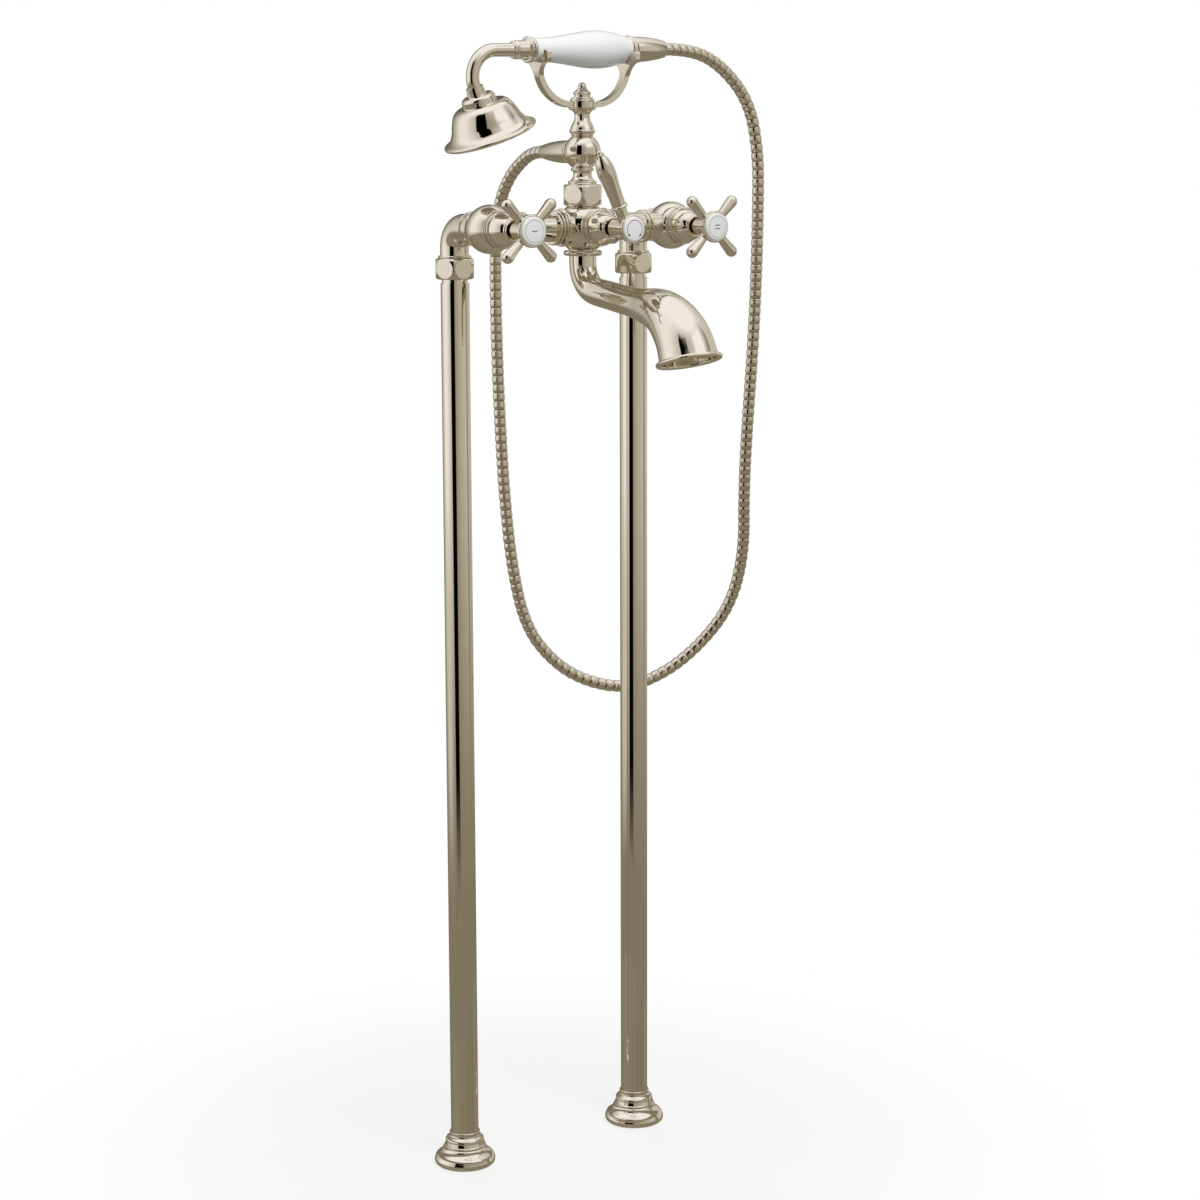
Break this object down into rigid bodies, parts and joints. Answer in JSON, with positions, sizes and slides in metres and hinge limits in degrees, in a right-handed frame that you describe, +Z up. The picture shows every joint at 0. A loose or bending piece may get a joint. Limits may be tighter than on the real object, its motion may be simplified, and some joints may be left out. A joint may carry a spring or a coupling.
{
  "type": "tub filler",
  "caption": "Floor-standing tub filler with cross-handle valves, a diverter lever, a curved spout and a porcelain-handled hand shower that lies in a cradle above the body.",
  "frame": {"origin": "on the floor, midway between the two supply inlets", "axes": "+X along the line of the risers from hot to cold, -Y forward over the bath, +Z up"},
  "size_m": [0.3635, 0.3508, 1.0815],
  "materials": {
    "nickel": "polished",
    "porcelain": "glazed",
    "brass": "turned",
    "ceramic_disc": "ground",
    "rubber": "moulded",
    "steel": "machined"
  },
  "bodies": {
    "filler": {"centre_body": "nickel", "cold_crossbar": "nickel", "cold_elbow": "nickel", "cold_fixed_disc": "ceramic_disc", "cold_floor_flange": "nickel", "cold_inlet_bush": "brass", "cold_riser": "nickel", "cold_union_nut": "nickel", "cold_valve_body": "nickel", "cold_valve_bonnet": "nickel", "cold_valve_cartridge": "brass", "column_nut": "nickel", "cradle_yoke": "nickel", "diverter_bonnet": "nickel", "diverter_cartridge": "brass", "finial": "nickel", "hose_outlet_nut": "nickel", "hot_crossbar": "nickel", "hot_elbow": "nickel", "hot_fixed_disc": "ceramic_disc", "hot_floor_flange": "nickel", "hot_inlet_bush": "brass", "hot_riser": "nickel", "hot_union_nut": "nickel", "hot_valve_body": "nickel", "hot_valve_bonnet": "nickel", "hot_valve_cartridge": "brass", "outlet_washer": "rubber", "shower_column": "nickel", "shower_hose": "nickel", "spout": "nickel", "spout_ring": "nickel", "stem_seals": "rubber", "union_washers": "rubber"},
    "hot_handle": {"hot_cross_handle": "nickel", "hot_handle_button": "porcelain", "hot_handle_screw": "steel", "hot_valve_stem": "brass", "hot_moving_disc": "ceramic_disc"},
    "cold_handle": {"cold_cross_handle": "nickel", "cold_handle_button": "porcelain", "cold_handle_screw": "steel", "cold_valve_stem": "brass", "cold_moving_disc": "ceramic_disc"},
    "diverter": {"diverter_lever": "nickel", "diverter_button": "porcelain", "diverter_screw": "steel", "diverter_spool": "brass"},
    "handset": {"handset_grip": "porcelain", "handset_core": "brass", "front_collar": "nickel", "rear_collar": "nickel", "handset_neck": "nickel", "shower_bell": "nickel", "spray_plate": "nickel", "spray_gasket": "rubber", "hose_handset_nut": "nickel", "handset_washer": "rubber"}
  },
  "joints": [
    {"name": "hot_handle_turn", "type": "hinge", "parent": "filler", "child": "hot_handle", "pos_m": [-0.1016, -0.061, 0.903], "axis": [0, -1, 0], "range_deg": [0, 90]},
    {"name": "cold_handle_turn", "type": "hinge", "parent": "filler", "child": "cold_handle", "pos_m": [0.1016, -0.061, 0.903], "axis": [0, 1, 0], "range_deg": [0, 90]},
    {"name": "diverter_turn", "type": "hinge", "parent": "filler", "child": "diverter", "pos_m": [0, -0.061, 0.903], "axis": [0, 1, 0], "range_deg": [-20, 70]},
    {"name": "handset_lift", "type": "slide", "parent": "filler", "child": "handset", "axis": [0, 0, 1], "range_m": [0, 0.08], "deforming": ["shower_hose"]}
  ]
}
